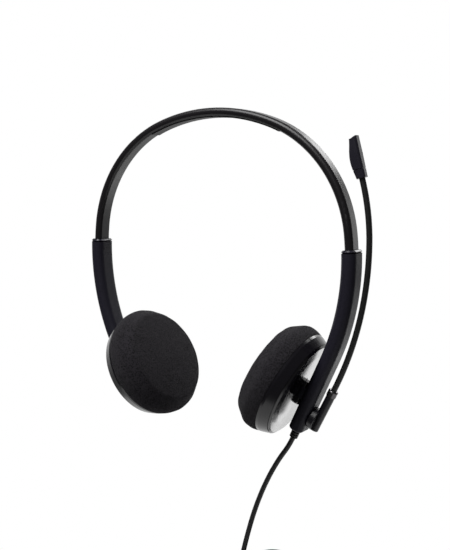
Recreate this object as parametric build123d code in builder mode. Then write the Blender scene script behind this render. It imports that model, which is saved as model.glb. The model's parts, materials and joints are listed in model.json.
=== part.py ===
"""Stereo headset with a swing-down boom microphone, foam ear pads and a wired 3.5 mm plug.

Frame: +X is the wearer's left, where the boom is, -Y is forward and +Z is up. The origin is
where the crown rests on the head, at the middle of the crown liner's underside. Millimetres.
"""

import os
from math import cos, degrees, dist, pi, radians, sin, tan

from build123d import *

# ---------------------------------------------------------------- driving dimensions

# Headband: a rounded bar bent to three tangent arcs on each side. Angles run from straight up.
band_thickness = 4.6
band_width = 9.4
band_corner = 2.1
crown_radius = 99.5
crown_half_angle = 20.3
shoulder_radius = 66.0
shoulder_end_angle = 83.5
side_radius = 119.0
tail_end_angle = 104.5
channel_width = 6.2
trim_thickness = 0.8
spring_thickness = 0.6
spring_width = 5.6
lead_diameter = 1.2
lead_slot_clearance = 0.15
liner_thickness = 1.2
liner_proud = 0.4
liner_width = 6.8
liner_end_angle = 25.5
channel_clearance = 0.1

# Arms: sleeves that slide over the band's tails, then run straight down behind the cups.
arm_thickness = 7.8
arm_width = 12.8
arm_corner = 3.4
arm_wall = 1.0
arm_end_angle = 115.0
arm_straight = 41.0
arm_end_wall = 1.6
arm_end_round = 1.2
rim_angle = 87.4
collar_height = 1.6
collar_chamfer = 0.7
collar_guide = 4.4
band_clearance = 0.2
cover_depth = 2.0
cover_drop = 8.0
cover_seam = 0.1
slide_travel_angle = 13.5
tail_clip_length = 3.2
tail_clip_clearance = 0.2
notch_radius = 0.4
notch_count = 9
grip_rib_count = 3
grip_rib_pitch = 1.5
grip_rib_height = 0.25
grip_rib_first = 0.8

# How far a cut runs on past the piece that it cuts, in millimetres and in degrees.
cut_spare = 1.0
cut_spare_angle = 1.0

# Cups: depth is measured along the cup's axis, outwards from the pad's widest circle.
cup_tilt = 27.5
cup_turn = 3.0
swivel_along_arm = 22.4
pad_radius = 30.0
pad_shoulder_radius = 7.0
pad_crown = 12.0
pad_seam_lap = 0.4
pad_side_bulge = 0.25
pad_side_drop = 0.4
ring_front_depth = 5.3
ring_back_depth = 11.2
ring_front_radius = 28.9
ring_back_radius = 26.9
ring_wall = 1.4
ring_lip_draw = 0.2
seam_gap = 0.2
shell_back_depth = 12.5
shell_flat_radius = 20.0
shell_wall = 1.3
shell_spigot = 1.6
shell_edge_drop = 0.3
fit_gap = 0.1
baffle_thickness = 1.2
baffle_hole_radius = 1.1
sound_rings = ((4.2, 6), (8.4, 12))
pin_depth = 13.3
pin_radius = 1.0
pin_head_radius = 1.7
pin_head_length = 1.0
pin_running = 0.05
pin_press_gap = 0.02
knuckle_radius = 2.0
knuckle_length = 6.6
knuckle_gap = 0.4
knuckle_end_gap = 0.15
groove_clearance = 0.3
ear_length = 2.9
ear_radius = 1.8
bracket_width = 4.0
bracket_flange_width = 6.0
bracket_flange_length = 10.0
bracket_flange_thickness = 1.0
window_clearance = 0.1
screw_circle_radius = 22.0
screw_count = 3
screw_radius = 0.8
screw_clearance = 0.02
screw_head_radius = 1.6
screw_head_height = 0.7
screw_length = 5.0
boss_radius = 2.1
driver_radius = 16.0
driver_frame_depth = 1.9
driver_plate = 0.8
diaphragm_radius = 14.4
diaphragm_thickness = 0.15
diaphragm_ledge = 0.3
diaphragm_seat = 1.0
coil_radius = 6.3
coil_thickness = 0.6
coil_height = 1.7
magnet_radius = 7.9
magnet_height = 2.9
magnet_gap = 1.2

# Boom: a hub on the left arm's outer face, a stiff sleeve, then a slim curved stalk.
hub_along_arm = 31.4
hub_radius = 5.8
hub_gap = 0.2
hub_height = 3.3
sleeve_offset = 7.9
sleeve_radius = 2.3
sleeve_lean = 27.0
sleeve_reach = 15.4
ferrule_radius = 2.6
ferrule_length = 3.4
boom_radius = 1.5
boom_lower_radius = 163.4
boom_upper_radius = 117.0
boom_upper_turn = 15.5
spigot_radius = 2.5
spigot_running = 0.06
hub_screw_radius = 1.0
hub_screw_head_radius = 2.0
hub_screw_head_height = 0.9
hub_screw_length = 5.0
retainer_radius = 3.4
retainer_thickness = 0.5
friction_washer_thickness = 0.7

# Microphone capsule: (distance along it, width across, depth front to back) at each section. Its
# outer side is straight, so that it swells on the side of the mouth alone.
capsule_sections = ((0.0, 4.8, 4.9), (4.4, 5.6, 5.2), (9.4, 5.95, 5.6), (14.6, 5.15, 5.6), (20.4, 4.1, 5.3))
capsule_outer_side = 2.45
capsule_outer_lean = 1.0
capsule_corner = 1.4
capsule_top_fall = 17.0
capsule_top_front_fall = 12.0
capsule_apex_inset = 1.3
capsule_lid_seam = -1.7
capsule_lid_tilt = 9.0
capsule_lid_start = 5.6
capsule_lid_top = 19.6
capsule_collar_length = 4.2
capsule_collar_groove = 0.35
mic_element_radius = 2.0
mic_element_thickness = 1.6
mic_pocket_clearance = 0.08
mic_along_capsule = 11.8
mic_port_radius = 0.45
mic_port_depth = 3.3
mic_port_offset = 1.3
mic_slot_width = 0.6
mic_slot_length = 3.2
mic_slot_pitch = 1.4

# Cord: strain relief, hanging run, wound coil held by a tie, and the plug.
cord_diameter = 2.7
relief_offset = -0.5
relief_flange_radius = 2.6
relief_flange_thickness = 1.0
relief_body_radius = 2.2
relief_length = 5.5
relief_groove_depth = 0.5
relief_groove_width = 0.7
relief_groove_pitch = 1.5
relief_neck_radius = 1.7
relief_neck_clearance = 0.1
relief_catch_radius = 2.3
relief_catch_thickness = 1.0
cord_route = (
    (46.70, 0.0, -163.64),
    (44.40, 0.0, -168.55),
    (38.20, -0.7, -177.20),
    (31.60, -2.0, -189.80),
    (26.00, -3.5, -204.60),
    (21.90, -4.8, -219.90),
    (18.40, -5.55, -235.10),
    (16.00, -5.55, -246.30),
)
coil_outer_radius = 22.4
coil_pitch = 3.75
coil_layer_halves = (8, 8, 8, 9)
coil_lead_in = 3.0
coil_tail = 20.0
tie_height = 6.0
tie_thickness = 0.8
tie_clearance = 0.2
plug_boot_length = 8.0
plug_boot_radius = 2.2
plug_body_radius = 4.1
plug_body_length = 22.0
plug_round = 1.2
plug_boot_draw = 0.3
plug_boot_flare = 0.6
jack_radius = 1.75
jack_length = 14.0
jack_tip_length = 3.0
jack_neck_radius = 1.15
jack_neck_run = 0.5
jack_swell_run = 1.4
jack_nose_length = 0.4
jack_nose_radius = 0.4
jack_band_starts = (5.6, 8.0, 10.4)
jack_band_width = 0.6
jack_band_depth = 0.5

# ---------------------------------------------------------------- worked out from them

LEFT = 1
RIGHT = -1
side_names = {LEFT: "left", RIGHT: "right"}

apex_height = liner_proud + band_thickness / 2
crown_centre = (0.0, apex_height - crown_radius)


def next_centre(centre, radius, angle, next_radius):
    """The centre of the arc that carries on tangent from an arc, where it ends at an angle."""
    step = radius - next_radius
    return (centre[0] + step * sin(radians(angle)), centre[1] + step * cos(radians(angle)))


shoulder_centre = next_centre(crown_centre, crown_radius, crown_half_angle, shoulder_radius)
side_centre = next_centre(shoulder_centre, shoulder_radius, shoulder_end_angle, side_radius)
arm_tilt = radians(arm_end_angle - 90)


def arc_angle(length):
    """The angle that a length along the side arc takes, in degrees."""
    return degrees(length / side_radius)


def section_plane(centre, radius, angle, side):
    """The plane across the bar at an angle of an arc: its X points out of the headset."""
    a = radians(angle)
    origin = (side * (centre[0] + radius * sin(a)), 0, centre[1] + radius * cos(a))
    return Plane(origin=origin, x_dir=(side * sin(a), 0, cos(a)), z_dir=(side * cos(a), 0, -sin(a)))


def bend(draw, centre, radius, start, end, side, mode=Mode.ADD):
    """Carries a drawn section along one arc of the headset's outline."""
    with BuildSketch(section_plane(centre, radius, start, side)) as section:
        draw()
    axis = Axis((side * centre[0], 0, centre[1]), (0, side, 0))
    revolve(section.sketch, axis=axis, revolution_arc=end - start, mode=mode)


def along_band(draw, mode=Mode.ADD, end=tail_end_angle):
    """Carries a section along the whole headband, from one tail's end to the other."""
    bend(draw, crown_centre, crown_radius, -crown_half_angle, crown_half_angle, LEFT, mode)
    for side in (LEFT, RIGHT):
        bend(draw, shoulder_centre, shoulder_radius, crown_half_angle, shoulder_end_angle, side, mode)
        bend(draw, side_centre, side_radius, shoulder_end_angle, end, side, mode)


def bar(thickness, width, corner):
    """Draws a rounded bar section, thickness across X and width across Y."""
    RectangleRounded(thickness, width, corner)


def strip(bottom, top, width):
    """Draws a flat strip section between two heights across the bar."""
    with Locations(((bottom + top) / 2, 0)):
        Rectangle(top - bottom, width)


def out_of(side, tilt=arm_tilt):
    """The direction square to the lower arm, pointing away from the head."""
    return Vector(side * cos(tilt), 0, -sin(tilt))


def up_of(side, tilt=arm_tilt):
    """The direction up along the lower arm."""
    return Vector(side * sin(tilt), 0, cos(tilt))


def arm_point(side, along, out=0.0):
    """A point of the lower arm, from the end of its bend, down along it and out from its middle."""
    a = radians(arm_end_angle)
    bend_end = Vector(
        side * (side_centre[0] + side_radius * sin(a)), 0, side_centre[1] + side_radius * cos(a)
    )
    return bend_end - up_of(side) * along + out_of(side) * out


def arm_face(side, along, out=0.0):
    """The plane facing out of the lower arm: its Y points up along the arm."""
    return Plane(origin=arm_point(side, along, out), x_dir=(0, side, 0), z_dir=out_of(side))


def along_arm(draw, start, length, side, mode=Mode.ADD):
    """Carries a section down the arm: round its bend from an angle, then straight for a length."""
    bend(draw, side_centre, side_radius, start, arm_end_angle, side, mode)
    with BuildSketch(section_plane(side_centre, side_radius, arm_end_angle, side)) as section:
        draw()
    extrude(section.sketch, amount=length, mode=mode)


def keep(piece, label):
    """Names a finished piece and writes its STEP file."""
    piece.part.label = label
    export_step(piece.part, f"parts/{label}.step")


os.makedirs("parts", exist_ok=True)

# ---------------------------------------------------------------- headband

band_face = -band_thickness / 2
trim_top = band_face + trim_thickness
spring_top = trim_top + spring_thickness
lead_slot = lead_diameter + 2 * lead_slot_clearance
lead_middle = spring_top + lead_slot / 2
liner_bed = band_face - liner_proud + liner_thickness

with BuildPart() as headband:
    along_band(lambda: bar(band_thickness, band_width, band_corner))
    along_band(lambda: strip(band_face - fit_gap, spring_top, channel_width), Mode.SUBTRACT)
    along_band(lambda: strip(spring_top - fit_gap, spring_top + lead_slot, lead_slot), Mode.SUBTRACT)
keep(headband, "headband")

with BuildPart() as headband_spring:
    along_band(lambda: strip(trim_top, spring_top, spring_width))
keep(headband_spring, "headband_spring")


def lead_section():
    """Draws the lead that crosses from one ear to the other, in its slot above the spring."""
    with Locations((lead_middle, 0)):
        Circle(lead_diameter / 2)


with BuildPart() as cross_lead:
    along_band(lead_section)
keep(cross_lead, "cross_lead")


def trim_section():
    """Draws the strip that closes the channel, flush with the band's inner face."""
    strip(band_face, trim_top, channel_width - 2 * channel_clearance)


for side, name in side_names.items():
    with BuildPart() as headband_trim:
        bend(trim_section, shoulder_centre, shoulder_radius, liner_end_angle, shoulder_end_angle, side)
        bend(trim_section, side_centre, side_radius, shoulder_end_angle, tail_end_angle, side)
    keep(headband_trim, f"{name}_headband_trim")


def liner_section():
    """Draws the liner that rests on the head: a strip in the channel under a wider, proud one."""
    trim_section()
    strip(band_face - liner_proud, band_face, liner_width)


with BuildPart() as crown_liner:
    bend(liner_section, crown_centre, crown_radius, -crown_half_angle, crown_half_angle, LEFT)
    for side in (LEFT, RIGHT):
        bend(liner_section, shoulder_centre, shoulder_radius, crown_half_angle, liner_end_angle, side)
keep(crown_liner, "crown_liner")

# ---------------------------------------------------------------- arms

collar_bottom_angle = rim_angle + arc_angle(collar_height)
guide_bottom_angle = collar_bottom_angle + arc_angle(collar_guide)
cover_top_angle = rim_angle + arc_angle(cover_drop)
cavity_thickness = arm_thickness - 2 * arm_wall
cavity_width = arm_width - 2 * arm_wall
cavity_corner = arm_corner - arm_wall
cover_top = -arm_thickness / 2 + cover_depth
nose_angle = tail_end_angle + arc_angle(tail_clip_length / 2)


def cavity_section():
    """Draws the hollow of the arm."""
    bar(cavity_thickness, cavity_width, cavity_corner)


def cover_outline(side, spare):
    """The arch-topped outline of an arm's inner cover, as a block to cut or keep with."""
    plane = section_plane(side_centre, side_radius, cover_top_angle, side)
    facing = Plane(origin=plane.origin, x_dir=(0, side, 0), z_dir=plane.x_dir)
    arch_radius = arm_width / 2
    reach = 2 * side_radius
    with BuildPart() as outline:
        with BuildSketch(facing):
            with Locations((0, -arch_radius)):
                Circle(arch_radius + spare)
            with Locations((0, -arch_radius - reach / 2)):
                Rectangle(arm_width + 4 * spare + 2 * cut_spare, reach)
        extrude(amount=side_radius, both=True)
    return outline.part


def cover_strip():
    """Draws the side of the arm that the inner cover takes, out past the arm's own face."""
    strip(-arm_thickness, cover_top, 2 * arm_width)


def cover_block(side, spare):
    """The block of space that an arm's inner cover takes, with a spare all round its edge."""
    outline = cover_outline(side, spare)
    with BuildPart() as block:
        along_arm(cover_strip, collar_bottom_angle, arm_straight - arm_end_wall, side)
        add(outline, mode=Mode.INTERSECT)
    return block.part


def make_arm_shell(side):
    """The outer arm moulding: a sleeve at the top, then a channel closed by the inner cover."""
    cover_room = cover_block(side, cover_seam)
    with BuildPart() as shell:
        along_arm(
            lambda: bar(arm_thickness, arm_width, arm_corner), collar_bottom_angle, arm_straight, side
        )
        end_face = shell.faces().sort_by(Axis(arm_point(side, 0), -up_of(side)))[-1]
        fillet(end_face.edges(), arm_end_round)
        cavity_start = collar_bottom_angle - cut_spare_angle
        along_arm(cavity_section, cavity_start, arm_straight - arm_end_wall, side, Mode.SUBTRACT)
        add(cover_room, mode=Mode.SUBTRACT)
        for number in range(notch_count):
            angle = nose_angle + slide_travel_angle * (number / (notch_count - 1) - 1)
            plane = section_plane(side_centre, side_radius, angle, side)
            with BuildSketch(Plane(origin=plane.origin, x_dir=(0, side, 0), z_dir=plane.x_dir)):
                with Locations((cavity_width / 2, 0), (-cavity_width / 2, 0)):
                    Circle(notch_radius)
            extrude(amount=band_thickness / 2, both=True, mode=Mode.SUBTRACT)
        for number in range(grip_rib_count):
            angle = collar_bottom_angle + arc_angle(grip_rib_pitch * (number + grip_rib_first))
            with BuildSketch(section_plane(side_centre, side_radius, angle, side)):
                with Locations((-arm_thickness / 2, 0)):
                    Rectangle(2 * grip_rib_height, arm_width - 2 * arm_corner)
            extrude(amount=grip_rib_height, both=True)
        if side == LEFT:
            with BuildSketch(arm_face(side, hub_along_arm)):
                Circle(spigot_radius + spigot_running)
            extrude(amount=arm_thickness, mode=Mode.SUBTRACT)
            with BuildSketch(relief_plane(arm_end_wall)):
                Circle(relief_neck_radius + relief_neck_clearance)
            extrude(amount=2 * arm_end_wall, mode=Mode.SUBTRACT)
    return shell


def relief_plane(inside=0.0):
    """The plane across the cord at the left arm's end, a distance inside it, facing down the cord."""
    origin = arm_point(LEFT, arm_straight - inside, relief_offset)
    return Plane(origin=origin, x_dir=out_of(LEFT), z_dir=-up_of(LEFT))


def pin_point(side):
    """The middle of a cup's swivel pin."""
    reach = arm_thickness / 2 + knuckle_gap + knuckle_radius
    return arm_point(side, swivel_along_arm, -reach)


def make_arm_cover(side):
    """The inner cover of an arm, with the window that the cup's bracket comes through."""
    wanted = cover_block(side, 0)
    with BuildPart() as cover:
        along_arm(
            lambda: bar(arm_thickness, arm_width, arm_corner),
            collar_bottom_angle, arm_straight - arm_end_wall, side,
        )
        add(wanted, mode=Mode.INTERSECT)
        along_arm(cavity_section, collar_bottom_angle - cut_spare_angle, arm_straight, side, Mode.SUBTRACT)
        with BuildSketch(arm_face(side, swivel_along_arm)):
            Rectangle(bracket_width + 2 * window_clearance, knuckle_length + 2 * window_clearance)
        extrude(amount=-arm_thickness, mode=Mode.SUBTRACT)
    return cover


def make_arm_collar(side):
    """The bright collar at the top of a sleeve, with the guide that the band slides in."""
    with BuildPart() as collar:
        bend(
            lambda: bar(arm_thickness, arm_width, arm_corner),
            side_centre, side_radius, rim_angle, collar_bottom_angle, side,
        )
        top_face = collar.faces().sort_by(Axis(arm_point(side, 0), up_of(side)))[-1]
        chamfer(top_face.edges(), collar_chamfer)
        guide_gap = fit_gap / 2
        bend(
            lambda: bar(
                cavity_thickness - 2 * guide_gap, cavity_width - 2 * guide_gap, cavity_corner - guide_gap
            ),
            side_centre, side_radius, collar_bottom_angle, guide_bottom_angle, side,
        )
        bend(
            lambda: bar(
                band_thickness + 2 * band_clearance,
                band_width + 2 * band_clearance,
                band_corner + band_clearance,
            ),
            side_centre, side_radius,
            rim_angle - cut_spare_angle, guide_bottom_angle + cut_spare_angle,
            side, Mode.SUBTRACT,
        )
    return collar


def make_tail_clip(side):
    """The stop on the end of a band's tail, with the two noses that click into the arm."""
    clip_thickness = cavity_thickness - 2 * tail_clip_clearance
    clip_width = cavity_width - 2 * tail_clip_clearance
    end_angle = tail_end_angle + arc_angle(tail_clip_length)
    with BuildPart() as clip:
        bend(
            lambda: bar(clip_thickness, clip_width, cavity_corner - tail_clip_clearance),
            side_centre, side_radius, tail_end_angle, end_angle, side,
        )
        plane = section_plane(side_centre, side_radius, nose_angle, side)
        with BuildSketch(Plane(origin=plane.origin, x_dir=(0, side, 0), z_dir=plane.x_dir)):
            nose_place = cavity_width / 2 - fit_gap - notch_radius
            with Locations((nose_place, 0), (-nose_place, 0)):
                Circle(notch_radius)
        extrude(amount=band_thickness / 4, both=True)
    return clip


def make_cup_bracket(side):
    """The bracket that carries a cup: a flange behind the cover, a web and the knuckle."""
    flange_face = -cavity_thickness / 2
    flange = (bracket_flange_width, bracket_flange_length)
    with BuildPart() as bracket:
        with BuildSketch(arm_face(side, swivel_along_arm, flange_face)):
            RectangleRounded(flange[0], flange[1], cavity_corner / 2)
        extrude(amount=bracket_flange_thickness)
        with BuildSketch(arm_face(side, swivel_along_arm, flange_face)):
            Rectangle(bracket_width, knuckle_length)
        extrude(amount=-(arm_wall + knuckle_gap + knuckle_radius))
        turning = Plane(origin=pin_point(side), x_dir=(0, side, 0), z_dir=up_of(side, radians(cup_tilt)))
        with BuildSketch(turning):
            Circle(knuckle_radius)
        extrude(amount=knuckle_length / 2, both=True)
        with BuildSketch(turning):
            Circle(pin_radius + pin_running)
        extrude(amount=knuckle_length, both=True, mode=Mode.SUBTRACT)
    return bracket


for side, name in side_names.items():
    keep(make_arm_shell(side), f"{name}_arm_shell")
    keep(make_arm_cover(side), f"{name}_arm_cover")
    keep(make_arm_collar(side), f"{name}_arm_collar")
    keep(make_tail_clip(side), f"{name}_tail_clip")
    keep(make_cup_bracket(side), f"{name}_cup_bracket")

# ---------------------------------------------------------------- cups

shell_rim_depth = ring_back_depth + seam_gap
shell_rim_radius = ring_back_radius - seam_gap
baffle_depth = ring_front_depth + fit_gap - baffle_thickness
driver_depth = baffle_depth + baffle_thickness
baffle_radius = ring_front_radius - ring_wall - fit_gap
pad_seam_radius = ring_front_radius + pad_seam_lap
pocket_depth = pin_depth - knuckle_radius - groove_clearance
pocket_length = knuckle_length + 2 * knuckle_end_gap
pin_half = pocket_length / 2 + ear_length


class Cup:
    """Where a cup stands: its axis, its up direction and the planes that its pieces are drawn on."""

    def __init__(self, side):
        """Turns the cup about its swivel pin, from square to the arm to how it is worn."""
        tilt = radians(cup_tilt)
        turn = radians(cup_turn)
        self.side = side
        self.up = up_of(side, tilt)
        self.out = out_of(side, tilt) * cos(turn) + Vector(0, 1, 0) * sin(turn)
        self.centre = pin_point(side) - self.out * pin_depth
        self.axis = Axis(self.centre, self.out)

    def profile(self):
        """The plane for a profile that is turned: X is the radius and Y is the depth."""
        return Plane(origin=self.centre, x_dir=self.up, z_dir=self.up.cross(self.out))

    def across(self, depth):
        """The plane across the cup at a depth, facing out: its X points up."""
        return Plane(origin=self.centre + self.out * depth, x_dir=self.up, z_dir=self.out)

    def pin_plane(self, along=0.0):
        """The plane across the swivel pin, a distance up it: its X points out of the cup."""
        origin = self.centre + self.out * pin_depth + self.up * along
        return Plane(origin=origin, x_dir=self.out, z_dir=self.up)


def turned(cup, points):
    """Turns a closed outline of (radius, depth) points into a solid about the cup's axis."""
    with BuildSketch(cup.profile()) as outline:
        with BuildLine():
            Polyline(*points, close=True)
        make_face()
    revolve(outline.sketch, axis=cup.axis)


def make_ear_pad(cup):
    """The foam pad: a crowned disc whose side draws in to the seam where it meets the ring."""
    shoulder_middle = Vector(pad_radius - pad_shoulder_radius, 0)
    crown_radius = (pad_radius**2 + pad_crown**2 - 2 * pad_radius * pad_shoulder_radius) / (
        2 * (pad_crown - pad_shoulder_radius)
    )
    crown_middle = Vector(0, crown_radius - pad_crown)
    crown_edge = crown_middle + (shoulder_middle - crown_middle).normalized() * crown_radius
    with BuildPart() as pad:
        with BuildSketch(cup.profile()):
            with BuildLine():
                crown = TangentArc((0, -pad_crown), crown_edge, tangent=(1, 0))
                shoulder = TangentArc(crown_edge, (pad_radius, 0), tangent=crown % 1)
                side_middle = (
                    (pad_radius + pad_seam_radius) / 2 + pad_side_bulge,
                    ring_front_depth / 2 + pad_side_drop,
                )
                side_arc = ThreePointArc(shoulder @ 1, side_middle, (pad_seam_radius, ring_front_depth))
                Polyline(
                    side_arc @ 1,
                    (baffle_radius, ring_front_depth),
                    (baffle_radius, baffle_depth),
                    (0, baffle_depth),
                    crown @ 0,
                )
            make_face()
        revolve(axis=cup.axis)
    return pad


def make_cup_ring(cup):
    """The ring between the pad and the back shell."""
    shoulder_depth = ring_front_depth + ring_wall
    with BuildPart() as ring:
        turned(
            cup,
            (
                (ring_front_radius - ring_wall, ring_front_depth),
                (ring_front_radius, ring_front_depth),
                (ring_front_radius - ring_lip_draw, shoulder_depth),
                (ring_back_radius, ring_back_depth),
                (ring_back_radius - ring_wall, ring_back_depth),
                (ring_front_radius - ring_wall - ring_lip_draw, shoulder_depth),
            ),
        )
    return ring


def make_cup_shell(cup):
    """The back shell, with its spigot, screw bosses and the two ears that hold the pin."""
    inner_depth = shell_back_depth - shell_wall
    spigot_radius_out = ring_back_radius - ring_wall - fit_gap
    round_radius = shell_rim_radius - shell_wall
    with BuildPart() as shell:
        turned(
            cup,
            (
                (0, inner_depth),
                (shell_flat_radius, inner_depth),
                (spigot_radius_out - shell_wall, shell_rim_depth - shell_spigot),
                (spigot_radius_out, shell_rim_depth - shell_spigot),
                (spigot_radius_out, shell_rim_depth),
                (shell_rim_radius, shell_rim_depth),
                (round_radius, shell_back_depth - shell_edge_drop),
                (shell_flat_radius, shell_back_depth),
                (0, shell_back_depth),
            ),
        )
        with BuildSketch(cup.across(driver_depth)):
            with PolarLocations(screw_circle_radius, screw_count):
                Circle(boss_radius)
        extrude(amount=inner_depth - driver_depth + shell_wall / 2)
        with BuildSketch(cup.across(driver_depth)):
            with PolarLocations(screw_circle_radius, screw_count):
                Circle(screw_radius)
        extrude(amount=screw_length, mode=Mode.SUBTRACT)
        floor_length = 2 * (pin_half + pin_head_length + fit_gap + shell_wall)
        with BuildSketch(cup.across(pocket_depth - shell_wall)):
            Rectangle(floor_length, 2 * (knuckle_radius + groove_clearance) + 2 * shell_wall)
        extrude(amount=shell_back_depth - pocket_depth + shell_wall / 2)
        with BuildSketch(cup.pin_plane()):
            Circle(knuckle_radius + groove_clearance)
        extrude(amount=pocket_length / 2, both=True, mode=Mode.SUBTRACT)
        for end in (1, -1):
            with BuildSketch(cup.pin_plane(end * pocket_length / 2)):
                Circle(ear_radius)
                with Locations(((inner_depth - pin_depth) / 2, 0)):
                    Rectangle(pin_depth - inner_depth, 2 * ear_radius)
            extrude(amount=end * ear_length)
        with BuildSketch(cup.pin_plane()):
            Circle(pin_radius + pin_press_gap)
        extrude(amount=pin_half + shell_wall, both=True, mode=Mode.SUBTRACT)
        with BuildSketch(cup.pin_plane(-pin_half)):
            Circle(pin_head_radius + fit_gap)
        extrude(amount=-pin_head_length - fit_gap, mode=Mode.SUBTRACT)
    return shell


def make_speaker_baffle(cup):
    """The plate between the driver and the foam, with its sound holes and screw seats."""
    with BuildPart() as baffle:
        with BuildSketch(cup.across(baffle_depth)):
            Circle(baffle_radius)
            Circle(baffle_hole_radius, mode=Mode.SUBTRACT)
            for radius, count in sound_rings:
                with PolarLocations(radius, count):
                    Circle(baffle_hole_radius, mode=Mode.SUBTRACT)
            with PolarLocations(screw_circle_radius, screw_count):
                Circle(screw_radius + fit_gap, mode=Mode.SUBTRACT)
        extrude(amount=baffle_thickness)
        with BuildSketch(cup.across(baffle_depth)):
            with PolarLocations(screw_circle_radius, screw_count):
                Circle(screw_head_radius + fit_gap)
        extrude(amount=screw_head_height, mode=Mode.SUBTRACT)
    return baffle


def make_driver_frame(cup):
    """The frame of the loudspeaker: a rim with a ledge for the diaphragm, and a back plate."""
    plate_depth = driver_depth + driver_frame_depth - driver_plate
    with BuildPart() as frame:
        turned(
            cup,
            (
                (diaphragm_radius, driver_depth),
                (driver_radius, driver_depth),
                (driver_radius, driver_depth + driver_frame_depth),
                (magnet_radius, driver_depth + driver_frame_depth),
                (magnet_radius, plate_depth),
                (diaphragm_radius - diaphragm_seat, plate_depth),
                (diaphragm_radius - diaphragm_seat, driver_depth + diaphragm_ledge + diaphragm_thickness),
                (diaphragm_radius, driver_depth + diaphragm_ledge + diaphragm_thickness),
            ),
        )
    return frame


def make_diaphragm(cup):
    """The diaphragm, a thin disc on the frame's ledge."""
    with BuildPart() as diaphragm:
        with BuildSketch(cup.across(driver_depth + diaphragm_ledge)):
            Circle(diaphragm_radius)
        extrude(amount=diaphragm_thickness)
    return diaphragm


def make_voice_coil(cup):
    """The voice coil, a thin ring behind the diaphragm that hangs in the magnet's gap."""
    with BuildPart() as coil:
        with BuildSketch(cup.across(driver_depth + diaphragm_ledge + diaphragm_thickness)):
            Circle(coil_radius + coil_thickness / 2)
            Circle(coil_radius - coil_thickness / 2, mode=Mode.SUBTRACT)
        extrude(amount=coil_height)
    return coil


def make_magnet(cup):
    """The magnet and its pot, with the ring-shaped gap for the voice coil."""
    front = driver_depth + driver_frame_depth - driver_plate
    with BuildPart() as magnet:
        with BuildSketch(cup.across(front)):
            Circle(magnet_radius)
        extrude(amount=magnet_height)
        with BuildSketch(cup.across(front)):
            Circle(coil_radius + magnet_gap / 2)
            Circle(coil_radius - magnet_gap / 2, mode=Mode.SUBTRACT)
        extrude(amount=coil_height, mode=Mode.SUBTRACT)
    return magnet


def make_cup_screws(cup):
    """The screws that hold the baffle to the back shell's bosses, under the foam."""
    with BuildPart() as screws:
        with BuildSketch(cup.across(baffle_depth)):
            with PolarLocations(screw_circle_radius, screw_count):
                Circle(screw_head_radius)
        extrude(amount=screw_head_height)
        with BuildSketch(cup.across(baffle_depth)):
            with PolarLocations(screw_circle_radius, screw_count):
                Circle(screw_radius - screw_clearance)
        extrude(amount=baffle_thickness + screw_length - fit_gap)
    return screws


def make_swivel_pin(cup):
    """The pin that the cup turns on, with its round head at the lower end."""
    with BuildPart() as pin:
        with BuildSketch(cup.pin_plane()):
            Circle(pin_radius)
        extrude(amount=pin_half, both=True)
        with BuildSketch(cup.pin_plane(-pin_half)):
            Circle(pin_head_radius)
        extrude(amount=-pin_head_length)
        fillet(pin.faces().sort_by(Axis(cup.centre, cup.up))[0].edges(), pin_head_length / 2)
    return pin


cup_makers = {
    "ear_pad": make_ear_pad,
    "cup_ring": make_cup_ring,
    "cup_shell": make_cup_shell,
    "speaker_baffle": make_speaker_baffle,
    "driver_frame": make_driver_frame,
    "diaphragm": make_diaphragm,
    "voice_coil": make_voice_coil,
    "cup_screws": make_cup_screws,
    "driver_magnet": make_magnet,
    "swivel_pin": make_swivel_pin,
}
for side, name in side_names.items():
    cup = Cup(side)
    for piece_name, maker in cup_makers.items():
        keep(maker(cup), f"{name}_{piece_name}")

# ---------------------------------------------------------------- boom

arm_outer = arm_thickness / 2
hub_face = arm_outer + hub_gap
wall_inside = cavity_thickness / 2
sleeve_direction = Vector(sin(radians(sleeve_lean)), 0, cos(radians(sleeve_lean)))
hub_centre = arm_point(LEFT, hub_along_arm, sleeve_offset)
boom_start = hub_centre + sleeve_direction * (sleeve_reach + ferrule_length)


def across_sleeve(reach):
    """The plane across the boom's sleeve, a distance up it from the hub's middle."""
    return Plane(origin=hub_centre + sleeve_direction * reach, x_dir=(0, 1, 0), z_dir=sleeve_direction)


spigot_bottom = wall_inside - friction_washer_thickness - fit_gap
with BuildPart() as boom_hub:
    with BuildSketch(arm_face(LEFT, hub_along_arm, hub_face)):
        Circle(hub_radius)
    extrude(amount=hub_height)
    fillet(boom_hub.edges().filter_by(GeomType.CIRCLE), hub_height / 8)
    with BuildSketch(across_sleeve(-hub_radius + sleeve_radius / 4)):
        Circle(sleeve_radius)
    extrude(amount=hub_radius - sleeve_radius / 4 + sleeve_reach)
    with BuildSketch(arm_face(LEFT, hub_along_arm, spigot_bottom)):
        Circle(spigot_radius)
    extrude(amount=hub_face - spigot_bottom + hub_height / 4)
    with BuildSketch(arm_face(LEFT, hub_along_arm, spigot_bottom)):
        Circle(hub_screw_radius + fit_gap / 4)
    extrude(amount=hub_screw_length, mode=Mode.SUBTRACT)
keep(boom_hub, "boom_hub")

with BuildPart() as boom_friction_washer:
    with BuildSketch(arm_face(LEFT, hub_along_arm, wall_inside - fit_gap)):
        Circle(retainer_radius)
        Circle(spigot_radius + fit_gap, mode=Mode.SUBTRACT)
    extrude(amount=-friction_washer_thickness)
keep(boom_friction_washer, "boom_friction_washer")

with BuildPart() as boom_retainer:
    with BuildSketch(arm_face(LEFT, hub_along_arm, spigot_bottom)):
        Circle(retainer_radius)
        Circle(hub_screw_radius + fit_gap, mode=Mode.SUBTRACT)
    extrude(amount=-retainer_thickness)
keep(boom_retainer, "boom_retainer")

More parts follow.
